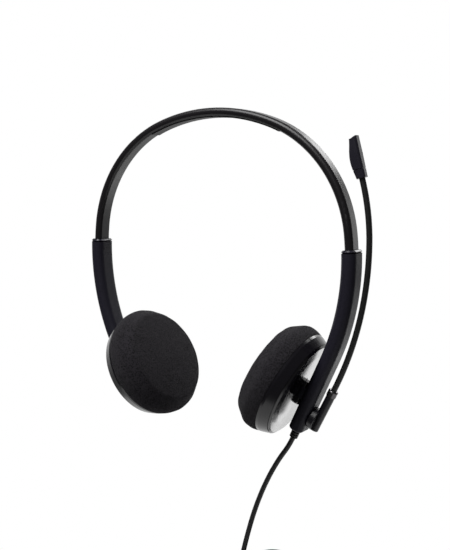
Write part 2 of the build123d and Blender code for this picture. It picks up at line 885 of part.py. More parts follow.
screw_seat = spigot_bottom - retainer_thickness
with BuildPart() as boom_pivot_screw:
    with BuildSketch(arm_face(LEFT, hub_along_arm, screw_seat)):
        Circle(hub_screw_head_radius)
    extrude(amount=-hub_screw_head_height)
    with BuildSketch(arm_face(LEFT, hub_along_arm, screw_seat)):
        Circle(hub_screw_radius)
    extrude(amount=retainer_thickness + hub_screw_length - fit_gap)
keep(boom_pivot_screw, "boom_pivot_screw")

with BuildPart() as boom_ferrule:
    with BuildSketch(across_sleeve(sleeve_reach)):
        Circle(ferrule_radius)
    extrude(amount=ferrule_length)
    top_edges = boom_ferrule.faces().sort_by(Axis(hub_centre, sleeve_direction))[-1].edges()
    chamfer(top_edges, ferrule_radius / 5)
keep(boom_ferrule, "boom_ferrule")

boom_lower_centre = (boom_start.X - boom_lower_radius * cos(radians(sleeve_lean)),
                     boom_start.Z + boom_lower_radius * sin(radians(sleeve_lean)))
boom_bend_top = (boom_start.X + boom_lower_radius * (1 - cos(radians(sleeve_lean))),
                 boom_lower_centre[1])


def across_boom(point, lean):
    """The plane across the boom at a point, where it leans out by an angle; its X is across."""
    a = radians(lean)
    return Plane(origin=(point[0], 0, point[1]), x_dir=(cos(a), 0, -sin(a)), z_dir=(sin(a), 0, cos(a)))


boom_top_angle = radians(boom_upper_turn)
boom_end = (boom_bend_top[0] - boom_upper_radius * (1 - cos(boom_top_angle)),
            boom_bend_top[1] + boom_upper_radius * sin(boom_top_angle))

with BuildPart() as boom_tube:
    lower_axis_x = boom_bend_top[0] - boom_lower_radius
    with BuildSketch(across_boom((boom_start.X, boom_start.Z), sleeve_lean)):
        Circle(boom_radius)
    revolve(axis=Axis((lower_axis_x, 0, boom_bend_top[1]), (0, -1, 0)), revolution_arc=sleeve_lean)
    upper_axis_x = boom_bend_top[0] - boom_upper_radius
    with BuildSketch(across_boom(boom_bend_top, 0)):
        Circle(boom_radius)
    revolve(axis=Axis((upper_axis_x, 0, boom_bend_top[1]), (0, -1, 0)), revolution_arc=boom_upper_turn)
keep(boom_tube, "boom_tube")

# ---------------------------------------------------------------- microphone capsule

capsule_base = across_boom(boom_end, -boom_upper_turn)
capsule_length = capsule_sections[-1][0]
capsule_half = max(width for _, width, _ in capsule_sections) / 2


def draw_capsule_section(along, width, depth, inset=0.0, mode=Mode.ADD):
    """Draws a section with its outer side on the capsule's straight side, drawn in by an inset."""
    outer = capsule_outer_side + along * tan(radians(capsule_outer_lean))
    with Locations((outer - width / 2, 0)):
        RectangleRounded(width - 2 * inset, depth - 2 * inset, capsule_corner - inset, mode=mode)


def capsule_form():
    """The capsule's whole outside, up to its flat end: a loft through its sections."""
    sections = []
    for along, width, depth in capsule_sections:
        with BuildSketch(capsule_base.offset(along)) as section:
            draw_capsule_section(along, width, depth)
        sections.append(section.sketch)
    loft(sections)


def capsule_side(x, tilt=0.0):
    """The plane at a distance across the capsule, level with the mic, that tilts out upwards."""
    a = radians(tilt)
    origin = capsule_base.origin + capsule_base.z_dir * mic_along_capsule + capsule_base.x_dir * x
    facing = capsule_base.x_dir * cos(a) - capsule_base.z_dir * sin(a)
    return Plane(origin=origin, x_dir=(0, 1, 0), z_dir=facing)


def draw_lid_outline():
    """Draws the lid's outline, past the capsule's front and back, from its collar to its top."""
    height = capsule_lid_top - capsule_lid_start
    with Locations((0, (capsule_lid_top + capsule_lid_start) / 2 - mic_along_capsule)):
        Rectangle(4 * capsule_half, height)


lid_plane = capsule_side(capsule_lid_seam, capsule_lid_tilt)
apex_across = capsule_outer_side - capsule_apex_inset
apex = capsule_base.offset(capsule_length).origin + capsule_base.x_dir * apex_across
top_plane = Plane(origin=apex, x_dir=capsule_base.x_dir, z_dir=capsule_base.z_dir).rotated(
    (capsule_top_front_fall, -capsule_top_fall, 0)
)
with BuildPart() as mic_body:
    capsule_form()
    with BuildSketch(top_plane):
        Rectangle(6 * capsule_half, 6 * capsule_half)
    extrude(amount=capsule_length, mode=Mode.SUBTRACT)
    with BuildSketch(lid_plane):
        with Locations((0, capsule_length + capsule_lid_start - mic_along_capsule)):
            Rectangle(4 * capsule_half, 2 * capsule_length)
    extrude(amount=-4 * capsule_half, mode=Mode.SUBTRACT)
    with BuildSketch(lid_plane):
        Circle(mic_element_radius + mic_pocket_clearance)
    extrude(amount=mic_element_thickness + mic_pocket_clearance, mode=Mode.SUBTRACT)
    with BuildSketch(capsule_side(capsule_half)):
        with Locations((mic_port_offset, 0)):
            Circle(mic_port_radius)
    extrude(amount=-mic_port_depth, mode=Mode.SUBTRACT)
    with BuildSketch(capsule_base.offset(capsule_collar_length)):
        Rectangle(4 * capsule_half, 4 * capsule_half)
        draw_capsule_section(*capsule_sections[1], inset=capsule_collar_groove, mode=Mode.SUBTRACT)
    extrude(amount=capsule_collar_groove, mode=Mode.SUBTRACT)
keep(mic_body, "mic_body")

with BuildPart() as mic_lid:
    capsule_form()
    with BuildSketch(lid_plane):
        draw_lid_outline()
    extrude(amount=-4 * capsule_half, mode=Mode.INTERSECT)
    with BuildSketch(lid_plane):
        with GridLocations(mic_slot_length, mic_slot_pitch, 1, 3):
            SlotOverall(mic_slot_length, mic_slot_width)
    extrude(amount=-capsule_half, mode=Mode.SUBTRACT)
keep(mic_lid, "mic_lid")

with BuildPart() as mic_element:
    with BuildSketch(lid_plane):
        Circle(mic_element_radius)
    extrude(amount=mic_element_thickness)
keep(mic_element, "mic_element")

# ---------------------------------------------------------------- strain relief

relief_axis = Axis(arm_point(LEFT, arm_straight, relief_offset), -up_of(LEFT))
relief_profile = Plane(
    origin=relief_axis.position, x_dir=out_of(LEFT), z_dir=out_of(LEFT).cross(-up_of(LEFT))
)
catch_depth = arm_end_wall + relief_catch_thickness
with BuildPart() as strain_relief:
    with BuildSketch(relief_profile):
        with BuildLine():
            Polyline(
                (0, -catch_depth),
                (relief_catch_radius, -catch_depth),
                (relief_catch_radius, -arm_end_wall),
                (relief_neck_radius, -arm_end_wall),
                (relief_neck_radius, 0),
                (relief_flange_radius, 0),
                (relief_flange_radius, relief_flange_thickness),
                (relief_body_radius, relief_flange_thickness),
                (relief_body_radius, relief_length),
                (0, relief_length),
                close=True,
            )
        make_face()
    revolve(axis=relief_axis)
    groove_count = int((relief_length - relief_flange_thickness) / relief_groove_pitch)
    for number in range(groove_count):
        depth = relief_flange_thickness + relief_groove_pitch * (number + 0.5)
        with BuildSketch(relief_plane(-depth)):
            Circle(relief_body_radius + cut_spare)
            Circle(relief_body_radius - relief_groove_depth, mode=Mode.SUBTRACT)
        extrude(amount=relief_groove_width, mode=Mode.SUBTRACT)
keep(strain_relief, "strain_relief")

# ---------------------------------------------------------------- cord


def corner_radii(points):
    """The largest radius for each corner of a route: 0.45 of its shorter run over tan(half turn)."""
    radii = []
    for before, here, after in zip(points, points[1:], points[2:]):
        first = Vector(*here) - Vector(*before)
        second = Vector(*after) - Vector(*here)
        half_turn = radians(first.get_angle(second)) / 2
        radii.append(0.45 * min(first.length, second.length) / tan(half_turn))
    return radii


route_radii = corner_radii(cord_route)
print("cord radii (mm):", [round(radius, 1) for radius in route_radii])
print("cord runs (mm):", [round(dist(a, b), 1) for a, b in zip(cord_route, cord_route[1:])])

with BuildPart() as cord_run:
    with BuildLine() as cord_line:
        FilletPolyline(*cord_route, radius=route_radii)
    with BuildSketch(Plane(origin=cord_line.line @ 0, z_dir=cord_line.line % 0)):
        Circle(cord_diameter / 2)
    sweep()
run_length = cord_line.wire().length
cord_area = pi * cord_diameter**2 / 4
print("cord run:", round(run_length, 1), "mm, volume over section times length",
      round(cord_run.part.volume / (cord_area * run_length), 4))
keep(cord_run, "cord_run")

coil_start = Vector(*cord_route[-1])
coil_down = (coil_start - Vector(*cord_route[-2])).normalized()
coil_across = Vector(0, 1, 0).cross(coil_down)
coil_first = coil_start + coil_down * coil_lead_in
coil_middle = coil_first - coil_across * coil_outer_radius


def coil_stations():
    """The (radius, layer) at each half turn: in, up a layer, out, up a layer, and so on."""
    radius, layer, step = coil_outer_radius, 0, -coil_pitch / 2
    stations = [(radius, layer)]
    for halves in coil_layer_halves:
        if len(stations) > 1:
            layer += 1
            stations.append((radius, layer))
        for _ in range(halves):
            radius += step
            stations.append((radius, layer))
        step = -step
    return stations


stations = coil_stations()


def station_point(number):
    """The point of the cord at a half turn, on one side of the coil and then the other."""
    radius, layer = stations[number]
    side = 1 if number % 2 == 0 else -1
    return coil_middle + coil_across * (side * radius) + Vector(0, layer * coil_pitch, 0)


def half_turn_middle(number):
    """The point half way round the half turn after a station: under the coil, or over it."""
    start, end = station_point(number), station_point(number + 1)
    sense = 1 if number % 2 == 0 else -1
    return (start + end) * 0.5 + coil_down * (sense * (end - start).length / 2)


with BuildPart() as cord_coil:
    with BuildLine() as coil_line:
        Line(coil_start, coil_first)
        for number in range(len(stations) - 1):
            ThreePointArc(station_point(number), half_turn_middle(number), station_point(number + 1))
        last = station_point(len(stations) - 1)
        coil_end = last + coil_down * coil_tail
        Line(last, coil_end)
    with BuildSketch(Plane(origin=coil_start, z_dir=coil_down)):
        Circle(cord_diameter / 2)
    sweep()
coil_length = coil_line.wire().length
coil_fill = cord_coil.part.volume / (cord_area * coil_length)
print("coil:", (len(stations) - 1) / 2, "turns,", round(coil_length, 1), "mm")
print("coil volume over section times length:", round(coil_fill, 4))
keep(cord_coil, "cord_coil")


def least_self_gap(spacing=1.5, apart=12.0):
    """The least gap between two stretches of the coil, measured on points along it."""
    count = int(coil_length / spacing)
    wire = coil_line.wire()
    points = [tuple(wire @ (number / count)) for number in range(count + 1)]
    skip = int(apart / spacing)
    nearest = min(
        dist(points[i], points[j]) for i in range(len(points)) for j in range(i + skip, len(points))
    )
    return nearest - cord_diameter


print("coil least self-gap (mm):", round(least_self_gap(), 2))
print("cord length in all (mm):", round(run_length + coil_length, 0))

coil_radii = [radius for radius, _ in stations]
bundle_inside = (min(coil_radii) ** 2 - (tie_height / 2) ** 2) ** 0.5
bundle_middle = (bundle_inside + max(coil_radii)) / 2
layer_count = stations[-1][1] + 1
bundle_width = max(coil_radii) - bundle_inside + cord_diameter + 2 * tie_clearance
bundle_depth = (layer_count - 1) * coil_pitch + cord_diameter + 2 * tie_clearance
tie_origin = coil_middle + coil_across * bundle_middle + Vector(0, (layer_count - 1) * coil_pitch / 2, 0)
with BuildPart() as cord_tie:
    with BuildSketch(Plane(origin=tie_origin, x_dir=coil_across, z_dir=coil_down)):
        RectangleRounded(
            bundle_width + 2 * tie_thickness,
            bundle_depth + 2 * tie_thickness,
            cord_diameter / 2 + tie_thickness,
        )
        RectangleRounded(bundle_width, bundle_depth, cord_diameter / 2, mode=Mode.SUBTRACT)
    extrude(amount=tie_height / 2, both=True)
keep(cord_tie, "cord_tie")

# ---------------------------------------------------------------- plug

plug_axis = Axis(coil_end, coil_down)
plug_profile = Plane(origin=coil_end, x_dir=coil_across, z_dir=coil_across.cross(coil_down))
plug_face = plug_boot_length + plug_body_length
with BuildPart() as plug_body:
    with BuildSketch(plug_profile):
        with BuildLine():
            Polyline(
                (0, 0),
                (plug_boot_radius - plug_boot_draw, 0),
                (plug_boot_radius + plug_boot_flare, plug_boot_length),
                (plug_body_radius - plug_round, plug_boot_length),
                (plug_body_radius, plug_boot_length + plug_round),
                (plug_body_radius, plug_face - plug_round / 2),
                (plug_body_radius - plug_round / 2, plug_face),
                (0, plug_face),
                close=True,
            )
        make_face()
    revolve(axis=plug_axis)
keep(plug_body, "plug_body")

jack_tip_start = jack_length - jack_tip_length


def jack_plane(along):
    """The plane across the jack, a distance out of the plug's face."""
    return Plane(origin=coil_end + coil_down * (plug_face + along), x_dir=coil_across, z_dir=coil_down)


with BuildPart() as plug_jack:
    with BuildSketch(plug_profile):
        with BuildLine():
            Polyline(
                (0, plug_face),
                (jack_radius, plug_face),
                (jack_radius, plug_face + jack_tip_start),
                (jack_neck_radius, plug_face + jack_tip_start + jack_neck_run),
                (jack_radius, plug_face + jack_tip_start + jack_swell_run),
                (jack_neck_radius, plug_face + jack_length - jack_nose_length),
                (jack_nose_radius, plug_face + jack_length),
                (0, plug_face + jack_length),
                close=True,
            )
        make_face()
    revolve(axis=plug_axis)
    for start in jack_band_starts:
        with BuildSketch(jack_plane(start)):
            Circle(jack_radius + cut_spare)
            Circle(jack_radius - jack_band_depth, mode=Mode.SUBTRACT)
        extrude(amount=jack_band_width, mode=Mode.SUBTRACT)
keep(plug_jack, "plug_jack")

for number, start in enumerate(jack_band_starts):
    with BuildPart() as plug_band:
        with BuildSketch(jack_plane(start)):
            Circle(jack_radius)
            Circle(jack_radius - jack_band_depth, mode=Mode.SUBTRACT)
        extrude(amount=jack_band_width)
    keep(plug_band, f"plug_band_{number + 1}")

# ---------------------------------------------------------------- places used elsewhere

print("side centre:", [round(value, 3) for value in side_centre])
for side, name in side_names.items():
    cup = Cup(side)
    print(name, "pin", tuple(pin_point(side)), "up", tuple(cup.up), "cup centre", tuple(cup.centre),
          "out", tuple(cup.out))
print("hub", tuple(hub_centre), "out", tuple(out_of(LEFT)))
print("boom end", boom_end, "jack base", tuple(jack_plane(0).origin), "along", tuple(coil_down))
print("relief end", tuple(relief_plane(-relief_length).origin), "coil middle", tuple(coil_middle))
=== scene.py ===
# %% [markdown]
# # A headset with a boom microphone
#
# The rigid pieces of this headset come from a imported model, the frame: band, arms, cups, boom,
# plug. This lesson gives them their finishes, and makes what is soft: the two foam pads and the
# cord. Everything is in metres, +X is the wearer's left, -Y is forward and +Z is up.

import json
import math

import bpy
import numpy as np
from mathutils import Matrix, Vector


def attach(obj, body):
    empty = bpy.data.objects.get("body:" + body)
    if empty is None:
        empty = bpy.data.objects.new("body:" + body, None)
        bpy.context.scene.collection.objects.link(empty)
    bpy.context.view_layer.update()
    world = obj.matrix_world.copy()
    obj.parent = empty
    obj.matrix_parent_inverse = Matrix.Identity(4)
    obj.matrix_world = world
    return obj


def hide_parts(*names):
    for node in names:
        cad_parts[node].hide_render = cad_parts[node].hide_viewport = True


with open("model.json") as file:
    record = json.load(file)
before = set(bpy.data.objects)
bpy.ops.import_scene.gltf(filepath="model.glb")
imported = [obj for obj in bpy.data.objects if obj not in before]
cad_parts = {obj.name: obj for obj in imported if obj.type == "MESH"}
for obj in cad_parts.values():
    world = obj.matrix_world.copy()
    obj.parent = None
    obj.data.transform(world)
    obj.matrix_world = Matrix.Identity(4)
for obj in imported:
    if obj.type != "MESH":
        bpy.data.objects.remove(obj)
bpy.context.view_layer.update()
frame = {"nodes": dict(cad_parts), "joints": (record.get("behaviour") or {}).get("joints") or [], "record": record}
slot_of = {entry["node"]: entry["material_slot"] for entry in frame["record"]["subparts"]}
joints = {joint["name"]: joint for joint in frame["joints"]}

# %% [markdown]
# ## The camera
#
# The headset is seen from a little above and from the side, so that the inside of one cup and the
# outside of the other both show. The camera is placed by the point that it looks at, its distance
# from there, and its turn, dip and roll. A long lens keeps both cups alike in size. The rotation
# matrix is built from three directions, which is easier to follow than three Euler angles.

# %% Place the camera
VIEW_CENTRE = Vector((0.0038, 0.0024, -0.0827))
VIEW_DISTANCE = 0.4932
VIEW_TURN = math.radians(32.0)
VIEW_DIP = math.radians(6.38)
VIEW_ROLL = math.radians(-0.12)
LENS_MM = 74.2
SENSOR_MM = 36.0
NEAREST_SEEN = 0.01


def place(name, data):
    """A new object for a camera, curve, mesh or lamp, linked into the scene."""
    thing = bpy.data.objects.new(name, data)
    bpy.context.scene.collection.objects.link(thing)
    return thing


def camera_matrix():
    """The camera's place: its columns are right, up and back, rolled about the back direction."""
    back = Vector(
        (
            math.sin(VIEW_TURN) * math.cos(VIEW_DIP),
            -math.cos(VIEW_TURN) * math.cos(VIEW_DIP),
            math.sin(VIEW_DIP),
        )
    )
    level = Vector((math.cos(VIEW_TURN), math.sin(VIEW_TURN), 0))
    upright = level.cross(-back)
    right = level * math.cos(VIEW_ROLL) + upright * math.sin(VIEW_ROLL)
    up = upright * math.cos(VIEW_ROLL) - level * math.sin(VIEW_ROLL)
    turned = Matrix((right, up, back)).transposed().to_4x4()
    return Matrix.Translation(VIEW_CENTRE + back * VIEW_DISTANCE) @ turned


camera = place("camera", bpy.data.cameras.new("camera"))
camera.data.sensor_fit = "HORIZONTAL"
camera.data.sensor_width = SENSOR_MM
camera.data.lens = LENS_MM
camera.data.clip_start = NEAREST_SEEN
camera.matrix_world = camera_matrix()
bpy.context.scene.camera = camera
print("camera at", [round(v, 4) for v in camera.matrix_world.translation])

# %% [markdown]
# ## The cord
#
# The lead is 1.8 m of thin rubber-covered cable. It leaves the strain relief under the left arm,
# hangs down, and is wound into a flat coil for storage, with the plug below. A NURBS curve suits
# it: the control points say where the cable goes, and the spline keeps it smooth. The hanging
# part has its points listed one by one. The coil's points come from a formula, because a wound
# cable is regular: each half turn is a half circle, a little smaller or larger than the last one,
# and each layer ends with a half turn that climbs to the next.

# %% Work out the cord's points
CORD_DIAMETER = 0.0027
CORD_ROUTE = (
    (0.04670, 0.0, -0.16364),
    (0.04440, 0.0, -0.16855),
    (0.03820, -0.0007, -0.17720),
    (0.03160, -0.0020, -0.18980),
    (0.02600, -0.0035, -0.20460),
    (0.02190, -0.0048, -0.21990),
    (0.01840, -0.00555, -0.23510),
    (0.01600, -0.00555, -0.24630),
)
COIL_OUTER_RADIUS = 0.0224
COIL_PITCH = 0.00375
COIL_LAYER_HALVES = (8, 8, 8, 9)
COIL_LEAD_IN = 0.003
COIL_TAIL = 0.020
POINTS_PER_HALF_TURN = 8
SPLINE_ORDER = 3
SPLINE_STEPS = 5
ROUND_STEPS = 4


def coil_stations():
    """(radius, layer) at each half turn: in by half a pitch each, up a layer, then out again."""
    radius, layer, step = COIL_OUTER_RADIUS, 0, -COIL_PITCH / 2
    stations = [(radius, layer)]
    for halves in COIL_LAYER_HALVES:
        if len(stations) > 1:
            layer += 1
            stations.append((radius, layer))
        for _ in range(halves):
            radius += step
            stations.append((radius, layer))
        step = -step
    return np.array(stations)


def coil_points(start, down):
    """The coil's control points, and the places where its half turns end.

    A half turn from A to B has its middle M half way between them. Its points are
    M + (A - M) cos t + D |A - M| sin t, with D downwards on the even half turns and upwards on
    the odd ones. The spline runs inside its control points, so t's circle is widened by one over
    the cosine of half the step between points.
    """
    radius, layer = coil_stations().T
    across = np.cross((0, 1, 0), down)
    middle = start + down * COIL_LEAD_IN - across * COIL_OUTER_RADIUS
    side = np.where(np.arange(len(radius)) % 2 == 0, 1.0, -1.0)
    places = middle + across * (side * radius)[:, None]
    places[:, 1] += layer * COIL_PITCH
    first, second = places[:-1], places[1:]
    centre = (first + second) / 2
    arm = first - centre
    step = math.pi / POINTS_PER_HALF_TURN
    t = (np.arange(POINTS_PER_HALF_TURN) + 0.5) * step
    widen = 1 / math.cos(step / 2)
    sense = np.outer(side[:-1] * np.linalg.norm(arm, axis=1), down)
    points = centre[:, None] + widen * (
        arm[:, None] * np.cos(t)[None, :, None] + sense[:, None] * np.sin(t)[None, :, None]
    )
    return points.reshape(-1, 3), places


route = np.array(CORD_ROUTE)
cord_down = (route[-1] - route[-2]) / np.linalg.norm(route[-1] - route[-2])
turns, stations = coil_points(route[-1], cord_down)
cord_end = stations[-1] + cord_down * COIL_TAIL
cord_points = np.vstack([route, turns, stations[-1] + cord_down * COIL_TAIL / 4, cord_end])
print("cord control points:", len(cord_points), "turns:", (len(stations) - 1) / 2)


# %% Make the cord
def nurbs_curve(name, points, radius):
    """A round NURBS cable that reaches its end points.

    The points carry the radius and the bevel is one, because the curve's box is its points grown
    by the points' own radius.
    """
    curve = bpy.data.curves.new(name, "CURVE")
    curve.dimensions = "3D"
    spline = curve.splines.new("NURBS")
    spline.points.add(len(points) - 1)
    flat = np.hstack([points, np.ones((len(points), 1))]).astype(np.float32)
    spline.points.foreach_set("co", flat.ravel())
    spline.points.foreach_set("radius", np.full(len(points), radius, np.float32))
    spline.order_u = SPLINE_ORDER
    spline.use_endpoint_u = True
    spline.resolution_u = SPLINE_STEPS
    curve.bevel_depth = 1.0
    curve.bevel_resolution = ROUND_STEPS
    curve.use_fill_caps = True
    return place(name, curve)


cord = nurbs_curve("cord", cord_points, CORD_DIAMETER / 2)
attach(cord, "left_arm")
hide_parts("cord_run", "cord_coil")

# %% [markdown]
# ## Shared effects as node groups
#
# Black plastic is never one flat colour: the mould leaves a fine grain, and hands leave slightly
# smoother patches. Each of these effects is made once as a node group, which puts out masks and
# heights, and every material places it with its own numbers. The shaders stay in the materials.

# %% Helpers for node trees
def group_tree(name, inputs, outputs):
    """A new shader node group with float inputs (name: default) and float outputs."""
    tree = bpy.data.node_groups.new(name, "ShaderNodeTree")
    for label, default in inputs.items():
        socket = tree.interface.new_socket(label, in_out="INPUT", socket_type="NodeSocketFloat")
        socket.default_value = default
    for label in outputs:
        tree.interface.new_socket(label, in_out="OUTPUT", socket_type="NodeSocketFloat")
    return tree, tree.nodes.new("NodeGroupInput"), tree.nodes.new("NodeGroupOutput")


def math_node(tree, operation, first, second):
    """One Math node: each of its two inputs is a socket to link or a number."""
    node = tree.nodes.new("ShaderNodeMath")
    node.operation = operation
    for socket, value in zip(node.inputs, (first, second)):
        if isinstance(value, bpy.types.NodeSocket):
            tree.links.new(value, socket)
        else:
            socket.default_value = value
    return node.outputs[0]


def range_node(tree, value, low, high, to_low=0.0, to_high=1.0):
    """A Map Range node with a smooth step from one range to another."""
    node = tree.nodes.new("ShaderNodeMapRange")
    node.interpolation_type = "SMOOTHSTEP"
    tree.links.new(value, node.inputs["Value"])
    node.inputs["From Min"].default_value = low
    node.inputs["From Max"].default_value = high
    node.inputs["To Min"].default_value = to_low
    node.inputs["To Max"].default_value = to_high
    return node.outputs["Result"]


def vector_node(tree, operation, coordinates, fixed):
    """The number that a Vector Math node makes of a texture coordinate and a fixed vector."""
    node = tree.nodes.new("ShaderNodeVectorMath")
    node.operation = operation
    source = tree.nodes.new("ShaderNodeTexCoord")
    tree.links.new(source.outputs[coordinates], node.inputs[0])
    node.inputs[1].default_value = fixed
    return node.outputs["Value"]


def noise_node(tree, scale, detail, coordinates):
    """A Noise Texture on the given coordinates; scale is a number or a socket, per metre."""
    node = tree.nodes.new("ShaderNodeTexNoise")
    tree.links.new(coordinates, node.inputs["Vector"])
    if isinstance(scale, bpy.types.NodeSocket):
        tree.links.new(scale, node.inputs["Scale"])
    else:
        node.inputs["Scale"].default_value = scale
    node.inputs["Detail"].default_value = detail
    return node.outputs["Fac"]


# %% Mould grain, smooth patches and foam cells
GRAIN_PER_METRE = 1500.0
GRAIN_DETAIL = 2.0
GRAIN_MASK = (0.3, 0.7)
PATCHES_PER_METRE = 40.0
PATCH_DETAIL = 3.0
PATCH_MASK = (0.4, 0.65)
CELLS_PER_METRE = 1400.0
CELL_SHARES = (1.0, 2.1)
CELL_MASK = (0.1, 0.55)
CELL_HEIGHT = 0.7
LUMPS_PER_METRE = 400.0
LUMP_DETAIL = 2.0
LUMP_HEIGHT = 0.25


def make_mould_grain():
    """Mask and height of a moulded surface: fine noise, and broad patches worn smoother."""
    inputs = {"Grain": GRAIN_PER_METRE, "Patches": PATCHES_PER_METRE}
    tree, given, result = group_tree("mould_grain", inputs, ("Mask", "Patch", "Height"))
    spot = tree.nodes.new("ShaderNodeTexCoord").outputs["Object"]
    fine = noise_node(tree, given.outputs["Grain"], GRAIN_DETAIL, spot)
    broad = noise_node(tree, given.outputs["Patches"], PATCH_DETAIL, spot)
    tree.links.new(range_node(tree, fine, *GRAIN_MASK), result.inputs["Mask"])
    tree.links.new(range_node(tree, broad, *PATCH_MASK), result.inputs["Patch"])
    tree.links.new(fine, result.inputs["Height"])
    return tree


def make_foam_cells():
    """Mask and height of open-cell foam: round pores of two sizes, with soft lumps under them. The mask is low in
    the pores and becomes painted shade in the foam's colour.
    """
    tree, given, result = group_tree("foam_cells", {"Cells": CELLS_PER_METRE}, ("Mask", "Height"))
    spot = tree.nodes.new("ShaderNodeTexCoord").outputs["Object"]
    heights = []
    for share in CELL_SHARES:
        pores = tree.nodes.new("ShaderNodeTexVoronoi")
        scale = math_node(tree, "MULTIPLY", given.outputs["Cells"], share)
        tree.links.new(spot, pores.inputs["Vector"])
        tree.links.new(scale, pores.inputs["Scale"])
        heights.append(range_node(tree, pores.outputs["Distance"], *CELL_MASK))
    # Low in the pores: the height sinks them, and the same mask paints shade into them.
    both = math_node(tree, "MULTIPLY", *heights)
    lumps = noise_node(tree, LUMPS_PER_METRE, LUMP_DETAIL, spot)
    cell_height = math_node(tree, "MULTIPLY", both, CELL_HEIGHT)
    lump_height = math_node(tree, "MULTIPLY", lumps, LUMP_HEIGHT)
    height = math_node(tree, "ADD", cell_height, lump_height)
    tree.links.new(both, result.inputs["Mask"])
    tree.links.new(height, result.inputs["Height"])
    return tree


mould_grain = make_mould_grain()
foam_cells = make_foam_cells()
print("node groups:", [tree.name for tree in bpy.data.node_groups])

# %% [markdown]
# ## Finishes
#
# One function builds a moulded finish from a colour, a roughness and the fineness of its grain.
# Numbers that are the same all over sit on the shader's own sockets. The grain's mask moves the
# colour a little, its patches move the roughness, and its height goes through a Bump node.

# %% Parts of a finish
def new_material(name, **numbers):
    """A material with nodes, and its shader with numbers set on its own sockets.

    An underscore in a number's name stands for a space in the socket's.
    """
    material = bpy.data.materials.new(name)
    material.use_nodes = True
    shader = material.node_tree.nodes["Principled BSDF"]
    for label, number in numbers.items():
        shader.inputs[label.replace("_", " ")].default_value = number
    return material, shader


def place_group(material, tree, **numbers):
    """Places a node group in a material, with its own numbers."""
    node = material.node_tree.nodes.new("ShaderNodeGroup")
    node.node_tree = tree
    for label, number in numbers.items():
        node.inputs[label].default_value = number
    return node


def mix_colours(material, mask, first, second):
    """A colour that goes from the first to the second with the mask."""
    node = material.node_tree.nodes.new("ShaderNodeMix")
    node.data_type = "RGBA"
    material.node_tree.links.new(mask, node.inputs["Factor"])
    node.inputs["A"].default_value = (*first, 1)
    node.inputs["B"].default_value = (*second, 1)
    return node.outputs["Result"]


def bump(material, shader, height, depth):
    """Feeds a height into the shader's normal; depth is in metres."""
    node = material.node_tree.nodes.new("ShaderNodeBump")
    node.inputs["Strength"].default_value = 1.0
    node.inputs["Distance"].default_value = depth
    material.node_tree.links.new(height, node.inputs["Height"])
    material.node_tree.links.new(node.outputs["Normal"], shader.inputs["Normal"])


# %% Build the finishes
GRAIN_DEPTH = 0.0000015
FOAM_DEPTH = 0.0004


def finish(name, dark, pale, rough, worn, grain=GRAIN_PER_METRE, metallic=0.0, specular=0.5):
    """A moulded or machined finish.

    The colour goes from dark to pale with the grain, and the roughness from rough to worn with
    the patches. Specular is the strength of what it mirrors: low for a matt plastic. The table
    below holds these values, and last what isn't as usual.
    """
    material, shader = new_material(name, Metallic=metallic, Specular_IOR_Level=specular)
    effect = place_group(material, mould_grain, Grain=grain)
    colour = mix_colours(material, effect.outputs["Mask"], dark, pale)
    shine = range_node(material.node_tree, effect.outputs["Patch"], 0.0, 1.0, rough, worn)
    material.node_tree.links.new(colour, shader.inputs["Base Color"])
    material.node_tree.links.new(shine, shader.inputs["Roughness"])
    bump(material, shader, effect.outputs["Height"], GRAIN_DEPTH)
    return material


def foam_finish(name, dark, pale, **numbers):
    """Open-cell foam: painted shade darkens the pores and leaves their rims paler, with a soft sheen."""
    material, shader = new_material(name, **numbers)
    effect = place_group(material, foam_cells, Cells=CELLS_PER_METRE)
    # The mask darkens the colour in the pores: painted shade in the foam's hollows.
    colour = mix_colours(material, effect.outputs["Mask"], dark, pale)
    material.node_tree.links.new(colour, shader.inputs["Base Color"])
    bump(material, shader, effect.outputs["Height"], FOAM_DEPTH)
    return material


